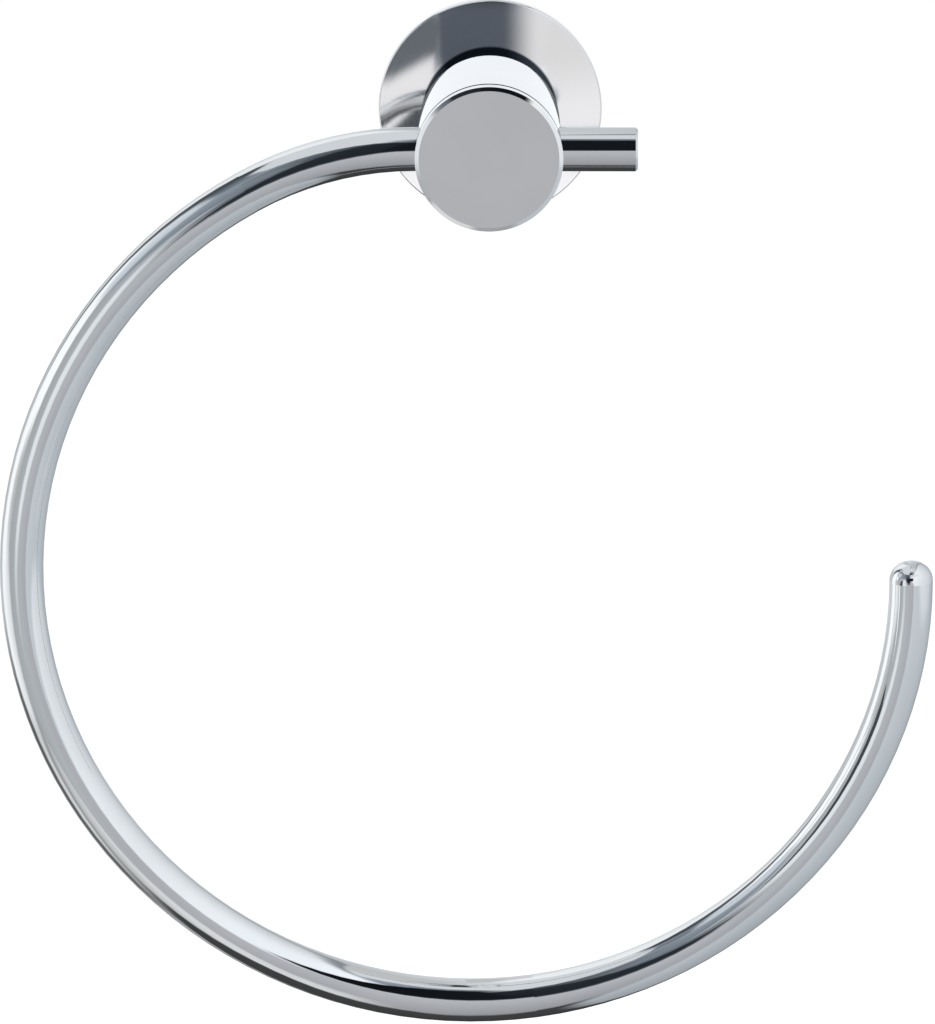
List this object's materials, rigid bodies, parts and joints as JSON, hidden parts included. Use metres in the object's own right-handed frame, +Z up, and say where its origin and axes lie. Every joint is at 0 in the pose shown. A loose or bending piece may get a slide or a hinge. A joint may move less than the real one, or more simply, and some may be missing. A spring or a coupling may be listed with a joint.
{
  "type": "towel ring",
  "caption": "Wall-mounted open towel ring: a bent round rod clamped in a drum-shaped post with a flat front cap, on a domed rosette over a hidden screw plate.",
  "frame": {"origin": "on the wall plane, on the post's axis", "axes": "+X to the right seen from the front, +Y into the wall, +Z up; the front faces -Y"},
  "size_m": [0.2131, 0.0511, 0.2327],
  "materials": {
    "ring_chrome": "bright chrome plate",
    "post_chrome": "bright chrome plate",
    "cap_chrome": "bright chrome plate, lapped flat",
    "rosette_chrome": "chrome plate on spun sheet, slightly soft",
    "plate_zinc": "raw cast zinc",
    "screw_steel": "plain stainless"
  },
  "bodies": {
    "root": {"ring": "ring_chrome", "post": "post_chrome", "front_cap": "cap_chrome", "rosette": "rosette_chrome", "wall_plate": "plate_zinc", "neck_grub_screw": "screw_steel", "ring_clamp_screw": "screw_steel"}
  },
  "joints": []
}
